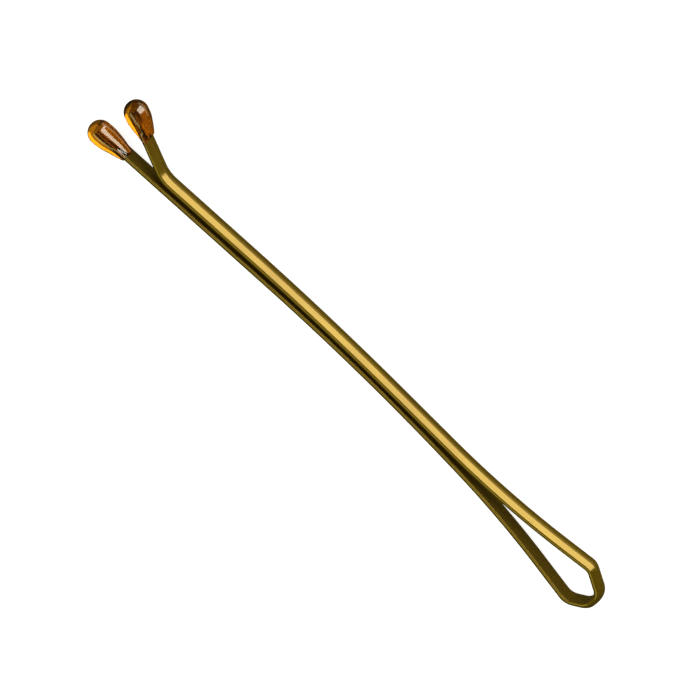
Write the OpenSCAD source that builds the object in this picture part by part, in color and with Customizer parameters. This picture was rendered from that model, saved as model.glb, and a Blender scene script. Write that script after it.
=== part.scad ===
// Bobby pin: one flat-sided spring wire folded into two legs and an end loop,
// with a drop of resin over each free end.
// The pin lies on its side: X runs from the tips to the loop, Y across the two legs
// with the flared leg on the +Y side, Z along the width of the wire.
// The origin is under the middle of the pin, on the face it rests on.

/* [Pin] */
// Overall length from the lower tip to the end of the loop
pin_l = 64.5; // [54:0.5:70]

/* [Wire] */
// Width of the wire, across the pin's flat side
wire_w = 1.82; // [1.6:0.02:1.9]
// Thickness of the wire from the flat inner face to the crown
wire_t = 0.7; // [0.62:0.02:0.8]
// Height of the straight edge on each side of the wire
edge_h = 0.36; // [0.28:0.02:0.4]
// Round where the inner face meets the edges
edge_r = 0.06; // [0.04:0.01:0.1]
// Width of the gently crowned middle of the outer face, between its two sloping flanks
crown_w = 0.76; // [0.6:0.02:0.9]
// Rise of that middle above the flanks
crown_rise = 0.03; // [0.02:0.005:0.05]
// Lean of the wire's section, so the inner faces nearly meet on the upper side
cant = 1; // [0:0.5:5]

/* [End loop] */
// Straight length across the end of the loop
nose_l = 1.9; // [1.8:0.1:2.4]
// Offset of the end's middle below the line of the legs
nose_drop = 0.42; // [0.2:0.02:0.5]
// Centre-line radius of the upper bend at the end
nose_r = 1.5; // [1.2:0.05:1.6]
// Centre-line radius of the lower bend at the end
nose_low_r = 1.25; // [0.9:0.05:1.35]
// Distance from the end back to the loop's upper corner
upper_corner_back = 2.45; // [2.1:0.05:2.8]
// Height of the loop's upper corner
upper_corner_h = 2.06; // [1.8:0.02:2.2]
// Distance from the end back to the loop's lower corner
lower_corner_back = 1.76; // [1.7:0.02:2]
// Depth of the loop's lower corner
lower_corner_h = 2.7; // [2.4:0.02:2.8]
// Centre-line radius of the upper corner
corner_r = 1.25; // [0.9:0.05:1.4]
// Centre-line radius of the lower corner
corner_low_r = 1.7; // [1.2:0.05:1.9]

/* [Legs] */
// Distance from the end to the middle of the bend where the upper leg leaves the loop
upper_shoulder_back = 12.6; // [12:0.1:14]
// Distance from the end to the middle of the bend where the lower leg leaves the loop
lower_shoulder_back = 12; // [11:0.1:12.5]
// Height of the upper leg's centre line at that bend
upper_shoulder_h = 0.61; // [0.56:0.01:0.8]
// Depth of the lower leg's centre line at that bend
lower_shoulder_h = 0.87; // [0.8:0.01:1.1]
// Centre-line radius of that bend
shoulder_r = 90; // [70:5:100]
// Distance from the end to the middle of the upper leg's bow
upper_bow_back = 35.8; // [32:0.1:37]
// Distance from the end to the middle of the lower leg's bow
lower_bow_back = 30.7; // [29:0.1:32]
// Height of the upper leg's centre line at the middle of its bow
upper_bow_h = 0.94; // [0.86:0.01:1]
// Height of the lower leg's centre line at the middle of its bow
lower_bow_h = 0.05; // [-0.1:0.01:0.06]
// Centre-line radius of the upper leg's slow bow
upper_bow_r = 300; // [250:10:420]
// Centre-line radius of the lower leg's slow bow
lower_bow_r = 230; // [180:5:240]
// Depth of the upper leg's centre line where it flares
flare_drop = 0.05; // [0:0.01:0.12]
// Depth of the lower leg's centre line inside its tip
lower_tip_drop = 1.57; // [1.45:0.01:1.7]

/* [Flare] */
// Distance from the pin's tip end to the flare
flare_back = 8.3; // [7.6:0.05:8.6]
// Length of the flared run, from the bend to the middle of the tip
flare_l = 6.9; // [6:0.05:7.2]
// Angle of the flared run above the pin's length
flare_deg = 25.5; // [24:0.5:30]
// Centre-line radius of the flare bend
flare_r = 3.5; // [3:0.25:5]

/* [Tips] */
// Diameter of each resin drop
drop_d = 2.4; // [2.2:0.02:2.6]
// Length of the drop's tail, from the middle of the ball to where it runs out on the wire
tail_l = 3.3; // [3:0.1:4.3]
// Distance behind the ball over which the drop keeps nearly its full breadth
tail_full = 1; // [0.8:0.05:1.2]
// How far the tail's two flat sides start inside the ball
tail_side_in = 0.08; // [0.05:0.01:0.12]
// How far the tail's hollow neck starts inside the ball
tail_neck_in = 0.02; // [0.01:0.01:0.05]
// Thickness of resin over the wire where the tail runs out
tail_skin = 0.05; // [0.04:0.01:0.1]
// How far the wire runs past the middle of the ball
wire_past = 0.3; // [0:0.05:0.5]
// How far each drop's middle hangs to the lower side of the wire
drop_low = 0.1; // [0:0.01:0.15]

/* [Flex knuckles] */
// Distance from the end to the knuckles between the loop and the legs
loop_flex_back = 3.8; // [3.6:0.1:4.6]
// Distance from the end to the knuckle behind the upper leg's bow
upper_waist_back = 21; // [20.2:0.1:22]
// Distance from the end to the knuckle behind the lower leg's bow
lower_waist_back = 18.4; // [17.2:0.1:18.7]
// Distance from the flare to the knuckles ahead of the bows
front_flex_l = 9; // [8:0.1:9.2]
// Straight wire left between a knuckle and the long rounds beside it
straight_min = 0.1; // [0.05:0.05:0.3]
// Radius of the rounded end that turns in the next length of wire
knuckle_r = 0.55; // [0.5:0.01:0.6]
// Gap left between a rounded end and its seat
knuckle_gap = 0.04; // [0.03:0.01:0.06]

/* [Hidden] */
$fn = 64;
fine = 720;
// A round is this much slimmer all over than the runs, which close over its ends by the lap
round_inset = 0.02;
run_lap = 0.01;
wire_colour = [0.62, 0.50, 0.18];
dark_colour = [0.33, 0.26, 0.08];
drop_colour = [0.80, 0.45, 0.10];

// Ends of the pin, with the wire's centre line half a thickness inside the loop's end
end_x = pin_l / 2 - wire_t / 2;
tip_x = -pin_l / 2;
// The lowest point is the underside of the drops
mid_z = drop_d / 2;

// Distance and direction from point a to point b, and the turn between two directions in degrees
function apart(a, b) = norm([b[0] - a[0], b[1] - a[1]]);
function bearing(a, b) = atan2(b[1] - a[1], b[0] - a[0]);
function turned(from, to) = (to - from + 540) % 360 - 180;

// Corner points of each centre line, from the middle of the loop's end outwards: [x, y, radius]
nose = [end_x, -nose_drop, 0];
flare_p = [tip_x + flare_back, -flare_drop, flare_r];
upper_bow = [end_x - upper_bow_back, upper_bow_h, upper_bow_r];
lower_bow = [end_x - lower_bow_back, lower_bow_h, lower_bow_r];
upper_corner = [end_x - upper_corner_back, upper_corner_h, corner_r];
lower_corner = [end_x - lower_corner_back, -lower_corner_h, corner_low_r];
upper_shoulder = [end_x - upper_shoulder_back, upper_shoulder_h, shoulder_r];
lower_shoulder = [end_x - lower_shoulder_back, -lower_shoulder_h, shoulder_r];
upper_seat = [flare_p[0] - flare_l * cos(flare_deg), flare_p[1] + flare_l * sin(flare_deg), 0];
lower_seat = [tip_x + drop_d / 2, -lower_tip_drop, 0];
// The wire runs on a little past its seat in each ball, and the ball hangs a little lower than the seat
function past(a, b) = b + (b - a) * wire_past / apart(a, b);
upper_end = past([flare_p[0], flare_p[1], 0], upper_seat);
lower_end = past([lower_bow[0], lower_bow[1], 0], lower_seat);
upper_ball = upper_seat - [0, drop_low, 0];
lower_ball = lower_seat - [0, drop_low, 0];

// Flex points lie on the straight runs between the bends
function between(a, b, x) = [x, a[1] + (b[1] - a[1]) * (x - a[0]) / (b[0] - a[0]), 0];
upper_rear_flex = between(upper_corner, upper_shoulder, end_x - loop_flex_back);
upper_waist_flex = between(upper_shoulder, upper_bow, end_x - upper_waist_back);
upper_front_flex = between(upper_bow, flare_p, flare_p[0] + front_flex_l);
lower_rear_flex = between(lower_corner, lower_shoulder, end_x - loop_flex_back);
lower_waist_flex = between(lower_shoulder, lower_bow, end_x - lower_waist_back);
lower_front_flex = between(lower_bow, lower_end, flare_p[0] + front_flex_l);

// A long round has its own radius, or less where it would reach a flex point beside it
function long_round(a, q, b) = [q[0], q[1], min(q[2], (min(apart(a, q), apart(q, b)) - knuckle_r - straight_min)
                                / abs(tan(turned(bearing(a, q), bearing(q, b)) / 2)))];
upper_path = [nose, nose + [0, nose_l / 2, nose_r], upper_corner, upper_rear_flex,
              long_round(upper_rear_flex, upper_shoulder, upper_waist_flex), upper_waist_flex,
              long_round(upper_waist_flex, upper_bow, upper_front_flex), upper_front_flex,
              flare_p, upper_end];
lower_path = [nose, nose + [0, -nose_l / 2, nose_low_r], lower_corner, lower_rear_flex,
              long_round(lower_rear_flex, lower_shoulder, lower_waist_flex), lower_waist_flex,
              long_round(lower_waist_flex, lower_bow, lower_front_flex), lower_front_flex, lower_end];

// Heading from point i to the next, its length, and the turn at point i
function heading(p, i) = bearing(p[i], p[i + 1]);
function gap_len(p, i) = apart(p[i], p[i + 1]);
function turn(p, i) = turned(heading(p, i - 1), heading(p, i));
// Length that the round at point i takes from the runs beside it
function trim(p, i) = i <= 0 || i >= len(p) - 1 ? 0 : p[i][2] * abs(tan(turn(p, i) / 2));

// The middle of the bends at the lower corner and the widest points across the legs
function bend_y(p, i) = p[i][1] + sin(heading(p, i - 1)) * -trim(p, i)
                        + sign(turn(p, i)) * cos(heading(p, i - 1)) * p[i][2];
top_y = upper_ball[1] + drop_d / 2;
low_y = min(bend_y(lower_path, 2) - corner_low_r - wire_t / 2, lower_ball[1] - drop_d / 2);
mid_y = (top_y + low_y) / 2;
module placed() { translate([0, -mid_y, mid_z]) children(); }

// Section of the wire: flat inner face, straight edges, and an outer face of two sloping flanks
// with a gently crowned middle between them.
// X is the way outwards, Y the width, and the middle of the thickness is at the origin.
module section(inset = 0) {
    crown_r = hollow_r(crown_w / 2, crown_rise);
    flank_h = wire_t - crown_rise - edge_h;
    slope = atan2(flank_h, (wire_w - crown_w) / 2);
    peak = wire_t - crown_rise + crown_w / 2 * tan(slope) - inset / cos(slope);
    foot = edge_h - inset / cos(slope);
    rotate(cant) translate([-wire_t / 2, 0]) intersection() {
        translate([wire_t - crown_r, 0]) circle(crown_r - inset);
        polygon([[peak, 0], [foot, wire_w / 2], [-wire_t, wire_w / 2],
                 [-wire_t, -wire_w / 2], [foot, -wire_w / 2]]);
        union() {
            translate([edge_r, inset - wire_w / 2]) square([wire_t, wire_w - 2 * inset]);
            translate([inset, edge_r - wire_w / 2]) square([wire_t, wire_w - 2 * edge_r]);
            for (s = [-1, 1]) translate([edge_r, s * (wire_w / 2 - edge_r)]) circle(edge_r - inset);
        }
    }
}

// The straight run from point i to the next; side is 1 where outwards is left of the heading.
// A run can start early, and it laps a little way over each round beside it.
module run(p, i, side, early = 0) {
    start = trim(p, i) - early - lap(p, i);
    stop = gap_len(p, i) - trim(p, i + 1) + lap(p, i + 1);
    at_point(p, i, heading(p, i)) translate([start, 0, 0])
        rotate([90, 0, 90]) linear_extrude(stop - start) scale([side, 1]) section();
}
function lap(p, i) = trim(p, i) > 0 ? run_lap : 0;

// The round at point i
module bend(p, i, side) {
    t = turn(p, i);
    s = sign(t);
    at_point(p, i, heading(p, i - 1)) translate([-trim(p, i), s * p[i][2], 0])
            rotate([0, 0, s > 0 ? -90 : 90]) rotate_extrude(angle = t, $fn = fine)
                translate([p[i][2], 0]) scale([-s * side, 1]) section(round_inset);
}

// One length of the wire, from path point a to point b.
// Its first end is rounded to turn about point a, and its last end is hollowed for the next length.
module wire_length(p, a, b, side, rounded = true, hollowed = true) {
    difference() {
        union() {
            for (i = [a : b - 1]) {
                run(p, i, side, early = i == a && rounded ? knuckle_r : 0);
                if (i > a) bend(p, i, side);
            }
        }
        if (rounded) at_point(p, a, heading(p, a)) difference() {
            translate([-2 * knuckle_r, -wire_w, -wire_w]) cube([2 * knuckle_r, 2 * wire_w, 2 * wire_w]);
            cylinder(r = knuckle_r, h = 3 * wire_w, center = true);
        }
        if (hollowed) at_point(p, b, 0) cylinder(r = knuckle_r + knuckle_gap, h = 3 * wire_w, center = true);
    }
}

module at_point(p, i, a) {
    translate([p[i][0], p[i][1], 0]) rotate(a) children();
}

// Radius of a round that rises or falls by rise over a distance l
function hollow_r(l, rise) = (l * l + rise * rise) / (2 * rise);

// Resin drop: a ball at the end of the path and a hollow tail that follows the wire
module drop(p, ball) {
    ball_r = drop_d / 2;
    flat_h = wire_t / 2 + wire_w / 2 * sin(cant) + tail_skin;
    round_h = norm([wire_w / 2, wire_t / 2 - edge_r]) + tail_skin;
    side_r = hollow_r(tail_l - tail_full, ball_r - tail_side_in - flat_h);
    neck_r = hollow_r(tail_l, ball_r - tail_neck_in - round_h);
    difference() {
        translate(ball) rotate(heading(p, len(p) - 2)) union() {
            sphere(ball_r);
            difference() {
                rotate([0, -90, 0]) rotate_extrude() difference() {
                    square([ball_r, tail_l]);
                    translate([round_h + neck_r, tail_l]) circle(neck_r, $fn = fine);
                }
                for (s = [-1, 1]) translate([-tail_l, s * (flat_h + side_r), 0])
                    cylinder(r = side_r, h = 3 * ball_r, center = true, $fn = fine);
            }
        }
        children();
    }
}

// Half of the end loop that everything else hangs from, hollowed at the loop's end for the other half
module lower_loop_half() {
    color(dark_colour) placed() difference() {
        wire_length(lower_path, 0, 3, 1, rounded = false);
        at_point(lower_path, 0, 0) cylinder(r = knuckle_r + knuckle_gap, h = 3 * wire_w, center = true);
    }
}
module upper_loop_half() { color(wire_colour) placed() wire_length(upper_path, 0, 3, -1); }
module lower_leg_rear() { color(dark_colour) placed() wire_length(lower_path, 3, 5, 1); }
module upper_leg_rear() { color(wire_colour) placed() wire_length(upper_path, 3, 5, -1); }
module lower_leg_middle() { color(dark_colour) placed() wire_length(lower_path, 5, 7, 1); }
module upper_leg_middle() { color(wire_colour) placed() wire_length(upper_path, 5, 7, -1); }
module lower_leg_front() { color(dark_colour) placed() wire_length(lower_path, 7, 8, 1, hollowed = false); }
module upper_leg_front() { color(wire_colour) placed() wire_length(upper_path, 7, 9, -1, hollowed = false); }
module lower_tip() { color(drop_colour) placed() drop(lower_path, lower_ball) run(lower_path, 7, 1); }
module upper_tip() { color(drop_colour) placed() drop(upper_path, upper_ball) run(upper_path, 8, -1); }

lower_loop_half();
upper_loop_half();
lower_leg_rear();
lower_leg_middle();
lower_leg_front();
lower_tip();
upper_leg_rear();
upper_leg_middle();
upper_leg_front();
upper_tip();
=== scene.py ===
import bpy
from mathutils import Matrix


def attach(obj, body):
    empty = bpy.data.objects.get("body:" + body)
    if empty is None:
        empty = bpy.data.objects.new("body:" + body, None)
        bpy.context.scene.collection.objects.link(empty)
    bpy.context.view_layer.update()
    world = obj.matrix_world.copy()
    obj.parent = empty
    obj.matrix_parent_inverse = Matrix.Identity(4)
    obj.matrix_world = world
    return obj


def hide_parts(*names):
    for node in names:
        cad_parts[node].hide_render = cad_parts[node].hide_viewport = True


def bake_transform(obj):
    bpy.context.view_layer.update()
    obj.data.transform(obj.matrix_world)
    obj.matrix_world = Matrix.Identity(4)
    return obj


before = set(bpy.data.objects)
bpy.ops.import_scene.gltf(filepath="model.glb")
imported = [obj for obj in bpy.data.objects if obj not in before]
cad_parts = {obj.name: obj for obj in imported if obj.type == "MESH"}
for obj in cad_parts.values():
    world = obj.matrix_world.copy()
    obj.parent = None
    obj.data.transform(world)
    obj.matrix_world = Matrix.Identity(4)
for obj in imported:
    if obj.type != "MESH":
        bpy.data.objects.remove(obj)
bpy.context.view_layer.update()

import math
import bpy
from mathutils import Matrix, Vector

# The spring wire: one length of hard spring steel, rolled flat on the inside and ridged outside,
# and bent into a loop at its middle so that two long legs spring together. The upper leg bows twice
# to close on the lower one, and lifts at its end to let the hair in.
mm = 0.001
wire_centre_z = 1.2

# Corners of its centre line, from the lower leg's tip round the loop to the upper leg's tip:
# x, y and the radius of the bend
wire_bends = [
    (-31.3496, -2.1224, 0), (1.2, -0.487353, 230), (19.9, -1.40735, 90), (30.14, -3.23735, 1.7),
    (31.9, -1.90735, 1.25), (31.9, -0.00735, 1.5), (29.45, 1.52265, 1.25), (19.3, 0.0726475, 90),
    (-3.9, 0.402647, 300), (-23.95, -0.587353, 3.5), (-30.4486, 2.51233, 0)]


def along_bends(bends, longest=0.4, sharpest=4):
    """Rings along straights and arcs: each a point, a heading and a length from the start.

    A step is about the longest one, or shorter where it would turn by over the sharpest degrees.
    """
    rings = []
    place, length = Vector(bends[0][:2]), 0.0

    def straight(end, heading):
        nonlocal place, length
        way = end - place
        parts = max(1, round(way.length / longest))
        for i in range(parts):
            rings.append((place + way * i / parts, heading, length + way.length * i / parts))
        place, length = end, length + way.length

    for i in range(1, len(bends)):
        here = Vector(bends[i][:2])
        way = (here - Vector(bends[i - 1][:2])).normalized()
        heading = math.atan2(way.y, way.x)
        if i == len(bends) - 1:
            straight(here, heading)
            rings.append((here, heading, length))
            break
        onward = (Vector(bends[i + 1][:2]) - here).normalized()
        turn = math.atan2(way.x * onward.y - way.y * onward.x, way.dot(onward))
        radius = bends[i][2]
        trim = radius * math.tan(abs(turn) / 2)
        straight(here - way * trim, heading)
        side = 1 if turn > 0 else -1
        hub = place + Vector((-way.y, way.x)) * radius * side
        bend = radius * abs(turn)
        parts = max(2, round(abs(turn) / math.radians(sharpest)), round(bend / longest))
        for k in range(parts):
            angle = heading + turn * k / parts
            spot = hub + Vector((math.sin(angle), -math.cos(angle))) * radius * side
            rings.append((spot, angle, length + bend * k / parts))
        place, length = here + onward * trim, length + bend
    return rings


# Its section, from the middle of its thickness: x outward of the loop, y up. The inside is flat,
# the edges are a little rounded, and outside a low crown rolls over into a flat flank on each side.
wire_cant = math.radians(1)
half_wide, half_thick = 0.91, 0.35
inner_round, outer_round, shoulder_round = 0.05, 0.03, 0.2
edge_height, edge_curve = 0.36, 0.45
crown_half, crown_curve = 0.38, 2.4


def wire_section():
    """The outline, anticlockwise from the flat side's middle, and the way round to each point."""
    foot = -half_thick + edge_height
    brow = half_thick - crown_curve + math.sqrt(crown_curve**2 - crown_half**2)
    slope = math.atan2(brow - foot, half_wide - crown_half)
    flank = foot * math.cos(slope) + half_wide * math.sin(slope)
    down = -math.pi / 2
    half = []

    def arc(x, y, radius, start, end, parts):
        for k in range(parts + 1):
            a = start + (end - start) * k / parts
            half.append((x + radius * math.cos(a), y + radius * math.sin(a)))

    # The flat
    half += [(-half_thick, -y) for y in (0.0, 0.3, 0.6, 0.76)]
    # The edge, between two small rounds that touch its arc and the flat or the flank from inside
    edge_x, edge_y = -half_thick + edge_height / 2, -half_wide + edge_curve
    reach = edge_curve - inner_round
    lean = math.asin((edge_x + half_thick - inner_round) / reach)
    arc(edge_x - reach * math.sin(lean), edge_y - reach * math.cos(lean), inner_round,
        -math.pi, down - lean, 4)
    reach = edge_curve - outer_round
    over = (flank - outer_round - edge_x * math.cos(slope) + edge_y * math.sin(slope)) / reach
    tilt = math.asin(over) - slope
    arc(edge_x, edge_y, edge_curve, down - lean * 0.8, down + tilt * 0.8, 6)
    arc(edge_x + reach * math.sin(tilt), edge_y - reach * math.cos(tilt), outer_round,
        down + tilt, -slope, 4)
    # The flank, up to a shoulder whose round touches it and the crown from inside
    crown_x, reach = half_thick - crown_curve, crown_curve - shoulder_round
    turn = slope - math.acos((flank - shoulder_round - crown_x * math.cos(slope)) / reach)
    hub = Vector((crown_x + reach * math.cos(turn), -reach * math.sin(turn)))
    low, high = Vector(half[-1]), hub + Vector((math.cos(slope), -math.sin(slope))) * shoulder_round
    half += [tuple(low.lerp(high, part)) for part in (0.04, 0.35, 0.65, 0.96)]
    arc(hub.x, hub.y, shoulder_round, -slope, -turn, 6)
    # Half the crown
    for k in (1, 2, 3):
        a = -turn * (1 - k / 4)
        half.append((crown_x + crown_curve * math.cos(a), crown_curve * math.sin(a)))

    outline = half + [(half_thick, 0.0)] + [(x, -y) for x, y in reversed(half[1:])]
    round_to = [0.0]
    for point, after in zip(outline, outline[1:] + outline[:1]):
        round_to.append(round_to[-1] + (Vector(after) - Vector(point)).length)
    return outline, round_to


wire_outline, wire_round_to = wire_section()


def canted(x, y):
    """A point of the section, turned by the wire's cant."""
    return (x * math.cos(wire_cant) - y * math.sin(wire_cant),
            x * math.sin(wire_cant) + y * math.cos(wire_cant))


def wire_point(spot, heading, x, y):
    """A point of the section carried to a place on the centre line, in metres."""
    out = Vector((math.sin(heading), -math.cos(heading)))
    across, up = canted(x, y)
    return Vector((*(spot + out * across), wire_centre_z + up)) * mm


def new_piece(name, mesh):
    piece = bpy.data.objects.new(name, mesh)
    bpy.context.scene.collection.objects.link(piece)
    return piece


def wire_skin(name, rings):
    """The wire's surface over some of its rings, closed at both ends and mapped in millimetres."""
    count = len(wire_outline)
    points = [wire_point(spot, heading, x, y)
              for spot, heading, _ in rings for x, y in wire_outline]
    faces, maps = [], []
    for i in range(len(rings) - 1):
        start, end = rings[i][2], rings[i + 1][2]
        for k in range(count):
            a, b = i * count + k, i * count + (k + 1) % count
            low, high = wire_round_to[k], wire_round_to[k + 1]
            faces.append((a, a + count, b + count, b))
            maps.append([(start, low), (end, low), (end, high), (start, high)])
    walls = len(faces)
    last = (len(rings) - 1) * count
    caps = ((0, range(count), rings[0][2]), (last, range(count - 1, -1, -1), rings[-1][2]))
    for ring, order, length in caps:
        faces.append([ring + k for k in order])
        maps.append([(length + wire_outline[k][0], wire_outline[k][1]) for k in order])
    mesh = bpy.data.meshes.new(name)
    mesh.from_pydata(points, [], faces)
    layer = mesh.uv_layers.new(name="wire")
    for face, corners in zip(mesh.polygons, maps):
        face.use_smooth = face.index < walls
        for loop, corner in zip(face.loop_indices, corners):
            layer.data[loop].uv = corner
    ends = {tuple(sorted((ring + k, ring + (k + 1) % count)))
            for ring in (0, last) for k in range(count)}
    for edge in mesh.edges:
        edge.use_edge_sharp = tuple(sorted(edge.vertices)) in ends
    mesh.update()
    return new_piece(name, mesh)


# The wire's finish: dark gold lacquer baked on the bright metal, with the fine lengthwise lines of
# drawing and rolling under it, a little paler where it is thin, and a few specks and dull spots.
class Socket:
    """A shader value that adds its own Math nodes when it is calculated with."""

    def __init__(self, tree, link):
        self.tree, self.link = tree, link

    def node(self, kind, settings=None, **values):
        """A new node. A socket is named by its label, or by its number after an underscore."""
        made = self.tree.nodes.new(kind)
        for key, value in (settings or {}).items():
            setattr(made, key, value)
        for key, value in values.items():
            socket = made.inputs[int(key[1:]) if key[0] == "_" else key.replace("_", " ")]
            if isinstance(value, Socket):
                self.tree.links.new(value.link, socket)
            else:
                socket.default_value = value
        return made

    def out(self, kind, output=0, settings=None, **values):
        return Socket(self.tree, self.node(kind, settings, **values).outputs[output])

    def maths(self, operation, *values):
        inputs = {f"_{i}": value for i, value in enumerate(values)}
        return self.out("ShaderNodeMath", 0, {"operation": operation}, **inputs)

    def __add__(self, other): return self.maths("ADD", self, other)
    def __radd__(self, other): return self.maths("ADD", other, self)
    def __sub__(self, other): return self.maths("SUBTRACT", self, other)
    def __rsub__(self, other): return self.maths("SUBTRACT", other, self)
    def __mul__(self, other): return self.maths("MULTIPLY", self, other)
    def __rmul__(self, other): return self.maths("MULTIPLY", other, self)

    def step(self, low, high):
        """0 below low, 1 above high, and smooth between them."""
        return self.out("ShaderNodeMapRange", 0, {"interpolation_type": "SMOOTHSTEP"},
                        Value=self, From_Min=low, From_Max=high)

    def blend(self, first, second):
        """A colour between two others, by this value."""
        return self.out("ShaderNodeMix", 2, {"data_type": "RGBA"}, _0=self, _6=first, _7=second)

    def noise(self, size, detail, roughness=0.5):
        """Noise at this place, by how many blotches there are to the unit."""
        return self.out("ShaderNodeTexNoise", 0, None,
                        Vector=self, Scale=size, Detail=detail, Roughness=roughness)

    def dots(self, size, inner, outer):
        """Small round dots at this place, 1 at their middle."""
        away = self.out("ShaderNodeTexVoronoi", 0, {"feature": "F1"}, Vector=self, Scale=size)
        return 1 - away.step(inner, outer)


def new_material(name):
    material = bpy.data.materials.new(name)
    material.use_nodes = True
    material.node_tree.nodes.clear()
    return material, Socket(material.node_tree, None)


def lacquered_wire():
    material, start = new_material("lacquered_wire")
    place = start.out("ShaderNodeUVMap", 0, {"uv_map": "wire"})
    parts = start.node("ShaderNodeSeparateXYZ", None, Vector=place)
    along, around = Socket(start.tree, parts.outputs[0]), Socket(start.tree, parts.outputs[1])

    def streaks(per_mm_along, per_mm_around):
        """A place on the wire, for noise in lengthwise streaks."""
        return start.out("ShaderNodeCombineXYZ", 0, None,
                         X=along * per_mm_along, Y=around * per_mm_around)

    lines, scratches = streaks(0.12, 8).noise(1.0, 3.0, 0.6), streaks(0.3, 30).noise(1.0, 2.0)
    solid = start.out("ShaderNodeTexCoord", 3)
    cloud, peel = solid.noise(260.0, 2.0), solid.noise(5200.0, 2.0)
    speck = solid.dots(1500.0, 0.05, 0.12)

    thin_gold, thick_gold = (0.18, 0.116, 0.005, 1), (0.142, 0.084, 0.002, 1)
    dark_gold = (0.08, 0.045, 0.002, 1)
    thickness = ((lines - 0.5) * 0.9 + (cloud - 0.5) * 0.8 + 0.5).step(0.1, 0.9)
    colour = (speck * 0.5).blend(thickness.blend(thin_gold, thick_gold), dark_gold)
    rough = 0.2 + (scratches - 0.5) * 0.12 + (cloud - 0.5) * 0.05 + speck * 0.15
    height = lines * 0.5 + scratches * 0.35 + peel * 0.15
    bump = start.out("ShaderNodeBump", 0, None, Strength=0.12, Distance=0.00002, Height=height)
    surface = start.out("ShaderNodeBsdfPrincipled", 0, None, Base_Color=colour, Metallic=0.65,
                        Roughness=rough, Coat_Weight=0.3, Coat_Roughness=0.08, Coat_IOR=1.5,
                        Normal=bump)
    start.node("ShaderNodeOutputMaterial", None, Surface=surface)
    return material


lacquer = lacquered_wire()
wire_rings = along_bends(wire_bends)


def length_at(x, y):
    """How far along the wire its centre line passes nearest to a point."""
    return min(wire_rings, key=lambda ring: (ring[0] - Vector((x, y))).length)[2]


# The wire flexes in seven places, and its skin is cut midway between them, one length about each
# flex. A row has the length's name, the bodies on both sides, the flex point, the wire's heading
# there in degrees and half the length that bends.
flexes = [
    ("wire_lower_bow", "lower_leg_front", "lower_leg_middle", (-14.95, -1.29861), 2.876, 1.6),
    ("wire_lower_waist", "lower_leg_middle", "lower_leg_rear", (13.5, -1.09248), -2.817, 1.6),
    ("wire_lower_shoulder", "lower_leg_rear", "lower_loop_half", (28.1, -2.87278), -10.132, 0.8),
    ("wire_loop", "lower_loop_half", "upper_loop_half", (31.9, -0.957353), 90.0, 0.8),
    ("wire_upper_shoulder", "upper_loop_half", "upper_leg_rear", (28.1, 1.32979), -171.87, 0.8),
    ("wire_upper_waist", "upper_leg_rear", "upper_leg_middle", (10.9, 0.19213), 179.185, 1.6),
    ("wire_upper_bow", "upper_leg_middle", "upper_leg_front", (-14.95, -0.142963), -177.173, 1.6)]

flex_lengths = [length_at(*flex[3]) for flex in flexes]
cuts = [0.0] + [(a + b) / 2 for a, b in zip(flex_lengths, flex_lengths[1:])] + [wire_rings[-1][2]]
cuts = [min(wire_rings, key=lambda ring: abs(ring[2] - cut))[2] for cut in cuts]

for (name, before, after, spot, heading, reach), start, end in zip(flexes, cuts, cuts[1:]):
    skin = wire_skin(name, [ring for ring in wire_rings if start <= ring[2] <= end])
    skin.data.materials.append(lacquer)
    way = Vector((math.cos(math.radians(heading)), math.sin(math.radians(heading)), 0)) * reach
    middle = Vector((*spot, wire_centre_z))
    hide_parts(before, after)
    (middle - way) * mm
    (middle + way) * mm
    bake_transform(skin)

# The two resin drops: a bead of clear amber resin on each cut end, so that the wire can't scratch.
# Each is dipped on, and hangs as a round drop with a tail that thins along the wire and ends in a
# feather edge on it. Lengths run back from the middle of the round head.
drop_radius, drop_low, drop_sides = 1.2, 0.1, 72
tail_end, tail_step = 3.3, 0.15
tail_shape = [(0.0, 1.2), (0.4, 1.2), (0.8, 1.18), (1.2, 1.12), (1.6, 1.045),
              (2.0, 0.96), (2.4, 0.87), (2.8, 0.78), (3.2, 0.66), (3.6, 0.50)]
# The resin's film over the wire, which thins from a place on the tail to the feather edge, and how
# softly the tail runs into it, on the head and behind it
film_thick, film_edge, film_from = 0.05, 0.015, 2
head_soft, tail_soft, head_end = 0.02, 0.07, 0.6
slant_end = 1.6
edge_turn, edge_sink = 0.03, 0.04


def tail_radius(s):
    """The drop's own radius behind its middle, read along a smooth curve through tail_shape."""
    i = next(i for i in range(len(tail_shape) - 1) if s <= tail_shape[i + 1][0])
    (a, ra), (b, rb) = tail_shape[i], tail_shape[i + 1]
    before = tail_shape[i - 1] if i else (2 * a - b, ra)
    onward = tail_shape[i + 2] if i + 2 < len(tail_shape) else (2 * b - a, 2 * rb - ra)
    t = (s - a) / (b - a)
    rise_a = (rb - before[1]) / (b - before[0]) * (b - a)
    rise_b = (onward[1] - ra) / (onward[0] - a) * (b - a)
    return ((2 * t**3 - 3 * t**2 + 1) * ra + (t**3 - 2 * t**2 + t) * rise_a
            + (3 * t**2 - 2 * t**3) * rb + (t**3 - t**2) * rise_b)


def wire_reach(angle):
    """How far the wire's section reaches from its middle at an angle."""
    ray = Vector((math.cos(angle), math.sin(angle)))
    best = 0.0
    for point, after in zip(wire_outline, wire_outline[1:] + wire_outline[:1]):
        edge = Vector(after) - Vector(point)
        across = ray.x * edge.y - ray.y * edge.x
        if abs(across) > 1e-12:
            length = (point[0] * edge.y - point[1] * edge.x) / across
            part = (point[0] * ray.y - point[1] * ray.x) / across
            if length > 0 and -1e-9 <= part <= 1 + 1e-9:
                best = max(best, length)
    return best


def soft_max(a, b, soft):
    """The larger of two lengths, rounded over where they are alike."""
    return max(a, b) + max(soft - abs(a - b), 0)**2 / (4 * soft)


drop_angles = [2 * math.pi * k / drop_sides for k in range(drop_sides)]
wire_reaches = [wire_reach(angle) for angle in drop_angles]


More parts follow.
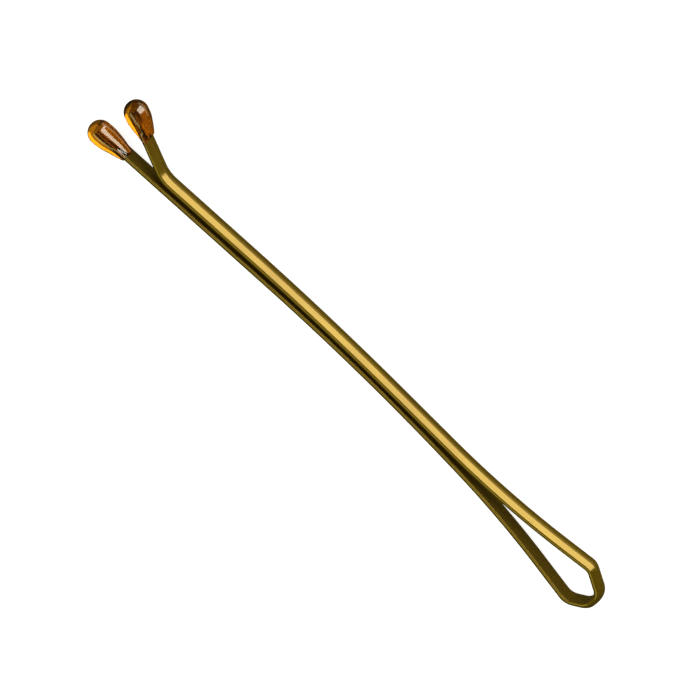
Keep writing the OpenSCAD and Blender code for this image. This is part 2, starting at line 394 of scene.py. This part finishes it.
def drop(name, centre, heading, side, slant):
    """A drop on the end of a leg. Its tail is shorter outside, by a share of its length."""
    points = [Vector((-drop_radius, 0, 0))]

    def ring(s, reaches):
        for angle, reach in zip(drop_angles, reaches):
            short = 1 - slant * (1 + math.cos(angle)) / 2 * min(max(s / slant_end, 0), 1)
            points.append(Vector((s * short, reach * math.cos(angle), reach * math.sin(angle))))

    # The round head, then the tail: the drop's own round shape or a thinning film on the wire
    for degrees in range(6, 90, 6):
        a = math.radians(degrees)
        ring(-math.cos(a) * drop_radius, [math.sin(a) * drop_radius] * drop_sides)
    for k in range(round(tail_end / tail_step) + 1):
        s = tail_step * k
        thinned = max((s - film_from) / (tail_end - film_from), 0)
        film = film_thick + (film_edge - film_thick) * thinned
        soft = tail_soft if s > head_end else head_soft
        ring(s, [soft_max(tail_radius(s), reach + film, soft) for reach in wire_reaches])
    # Past its edge the skin turns in and closes inside the wire
    ring(tail_end + edge_turn, [reach - edge_sink for reach in wire_reaches])
    points.append(Vector((tail_end * (1 - slant / 2), 0, 0)))

    last = len(points) - 1
    faces = []
    for k in range(drop_sides):
        after = (k + 1) % drop_sides
        faces.append((0, 1 + after, 1 + k))
        for a in range(1, last - drop_sides, drop_sides):
            faces.append((a + k, a + after, a + after + drop_sides, a + k + drop_sides))
        faces.append((last - drop_sides + k, last - drop_sides + after, last))

    # The head hangs a little off the leg's line, and the tail comes back to it
    angle = math.radians(heading)
    back = Vector((-math.cos(angle), -math.sin(angle)))
    out = Vector((math.sin(angle), -math.cos(angle))) * side
    placed = []
    for p in points:
        across, up = canted(p.y, p.z)
        gone = min(max(p.x / (2 * drop_radius), 0), 1)
        lift = drop_low * gone**2 * (3 - 2 * gone)
        spot = Vector(centre) + back * p.x + out * across + Vector((0, lift))
        placed.append(Vector((*spot, wire_centre_z + up)) * mm)
    mesh = bpy.data.meshes.new(name)
    mesh.from_pydata(placed, [], faces if side > 0 else [face[::-1] for face in faces])
    for face in mesh.polygons:
        face.use_smooth = True
    mesh.update()
    return new_piece(name, mesh)


def amber_resin():
    """Clear and glossy, deeper amber in clouds, with a faintly wavy skin and a few fine bubbles."""
    material, start = new_material("amber_resin")
    solid = start.out("ShaderNodeTexCoord", 3)
    cloud, ripple = solid.noise(700.0, 2.0), solid.noise(1100.0, 1.0)
    pit = solid.dots(1900.0, 0.06, 0.14)
    pale_amber, deep_amber = (0.62, 0.235, 0.006, 1), (0.52, 0.18, 0.004, 1)
    colour = cloud.step(0.3, 0.7).blend(pale_amber, deep_amber)
    rough = 0.04 + (cloud - 0.5) * 0.03 + pit * 0.1
    height = ripple - pit * 0.2
    bump = start.out("ShaderNodeBump", 0, None, Strength=0.1, Distance=0.00003, Height=height)
    surface = start.out("ShaderNodeBsdfPrincipled", 0, None, Base_Color=colour, Roughness=rough,
                        IOR=1.56, Transmission_Weight=1.0, Coat_Weight=0.6, Coat_Roughness=0.03,
                        Coat_IOR=1.6, Normal=bump)
    start.node("ShaderNodeOutputMaterial", None, Surface=surface)
    return material


resin = amber_resin()
for name, centre, heading, side, slant, leg, node in (
        ("lower_drop", (-31.05, -2.20735), 182.876, -1, 0.0, "lower_leg_front", "lower_tip"),
        ("upper_drop", (-30.1778, 2.283177), 154.5, 1, 0.22, "upper_leg_front", "upper_tip")):
    bead = drop(name, centre, heading, side, slant)
    bead.data.materials.append(resin)
    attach(bead, leg)
    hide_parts(node)

# The stage: a plain white light table. Glossy and clear things look through it to what lies below.
table_half = 2
floor_mesh = bpy.data.meshes.new("table_top")
corners = [(x * table_half, y * table_half, 0) for x, y in ((-1, -1), (1, -1), (1, 1), (-1, 1))]
floor_mesh.from_pydata(corners, [], [(0, 1, 2, 3)])
floor = new_piece("table_top", floor_mesh)
floor.visible_glossy = False
floor.visible_transmission = False


def table_white():
    material, start = new_material("table_white")
    grain = start.out("ShaderNodeTexCoord", 3).noise(90.0, 2.0)
    colour = grain.blend((0.52, 0.52, 0.52, 1), (0.50, 0.50, 0.50, 1))
    surface = start.out("ShaderNodeBsdfPrincipled", 0, None, Base_Color=colour, Roughness=0.6,
                        Emission_Color=(1, 1, 1, 1), Emission_Strength=0.88)
    start.node("ShaderNodeOutputMaterial", None, Surface=surface)
    return material


floor_mesh.materials.append(table_white())

# The room is white to the eye, dim and warm in reflections, and a little lighter through the resin.
world = bpy.data.worlds.new("studio")
world.use_nodes = True
bpy.context.scene.world = world
world.node_tree.nodes.clear()
room = Socket(world.node_tree, None)
dim = room.out("ShaderNodeBackground", 0, None, Color=(1, 0.8, 0.3, 1), Strength=0.07)
pale = room.out("ShaderNodeBackground", 0, None, Color=(1, 1, 1, 1), Strength=0.95)
seen = room.out("ShaderNodeLightPath", "Is Camera Ray")
through = room.out("ShaderNodeLightPath", "Is Transmission Ray")
walls = room.out("ShaderNodeMixShader", 0, None, _0=seen + through * 0.2, _1=dim, _2=pale)
room.node("ShaderNodeOutputWorld", None, Surface=walls)


def placed_by(right, up, back, place):
    """The placing of a lamp or camera by its own right, up and back."""
    return Matrix.Translation(place) @ Matrix((right, up, back)).transposed().to_4x4()


def soft_light(name, towards, distance, wide, high, brightness,
               tint=(1, 1, 1), gloss=True, diffuse=True):
    """A rectangular soft light that faces the pin from a direction, of an even brightness."""
    light = bpy.data.lights.new(name, "AREA")
    light.shape, light.size, light.size_y = "RECTANGLE", wide, high
    light.energy, light.color = brightness * math.pi * wide * high, tint
    lamp = new_piece(name, light)
    towards = Vector(towards).normalized()
    up = towards.cross(Vector((1, 0, 0))).normalized()
    if up.z < 0:
        up = -up
    side = up.cross(towards).normalized()
    lamp.matrix_world = placed_by(side, up, towards, towards * distance)
    lamp.visible_camera, lamp.visible_glossy, lamp.visible_diffuse = False, gloss, diffuse


def facing(elevation, x=0.0):
    """A direction from the pin, some degrees up on the upper leg's side, that can lean along it."""
    a = math.radians(elevation)
    return (x, math.cos(a), math.sin(a))


# The broad light that draws the bright band on the upper leg, the one that draws the thin stripe on
# the wire's edges, and an even light from above
soft_light("side_softbox", facing(11, 0.08), 0.45, 0.44, 0.54, 5.5, (1, 0.97, 0.8))
soft_light("behind_camera", facing(113), 0.6, 0.8, 0.2, 1.8, (0.95, 1, 0.35))
soft_light("overhead", (0, 0, 1), 1.2, 1.4, 1.4, 1.2, gloss=False)
# From under the table: the paler side of the crown, and the orange glow inside the drops
soft_light("table_sheen", facing(-34), 0.5, 0.8, 0.22, 1.1, (1, 0.9, 0.5), diffuse=False)
soft_light("glow_under_table", facing(-62), 0.5, 0.9, 0.5, 2.6, gloss=False, diffuse=False)
soft_light("dusk_under_table", (0, 0, -1), 0.6, 1.5, 1.5, 0.5, gloss=False, diffuse=False)

# The camera stands 54 degrees up on the upper leg's side, and is turned so that the pin lies from
# top left to bottom right. It is far off, as the photograph shows next to no perspective.
view_width, lens, sensor = 64.516 * mm, 1200, 36
along_pin, across_pin = Vector((0.9956, 0.0531, 0.0769)), Vector((0.001, 0.816, -0.578))
turn = math.radians(44.2541)
right = (math.cos(turn) * along_pin + math.sin(turn) * across_pin).normalized()
up = math.cos(turn) * across_pin - math.sin(turn) * along_pin
up = (up - right * up.dot(right)).normalized()
back = right.cross(up)
camera = new_piece("camera", bpy.data.cameras.new("camera"))
camera.data.lens, camera.data.sensor_width = lens, sensor
camera.data.clip_start, camera.data.clip_end = 0.01, 20
# It aims at the pin's middle, and a little beside it, so that the outline lies as in the photograph
pin_middle = Vector((-0.445, -0.5372, wire_centre_z))
aim = (pin_middle + 0.12396 * right + 0.3024 * up) * mm
camera.matrix_world = placed_by(right, up, back, aim + back * (view_width * lens / sensor))
bpy.context.scene.camera = camera
bpy.context.scene.view_settings.view_transform = "Standard"

bpy.context.view_layer.update()
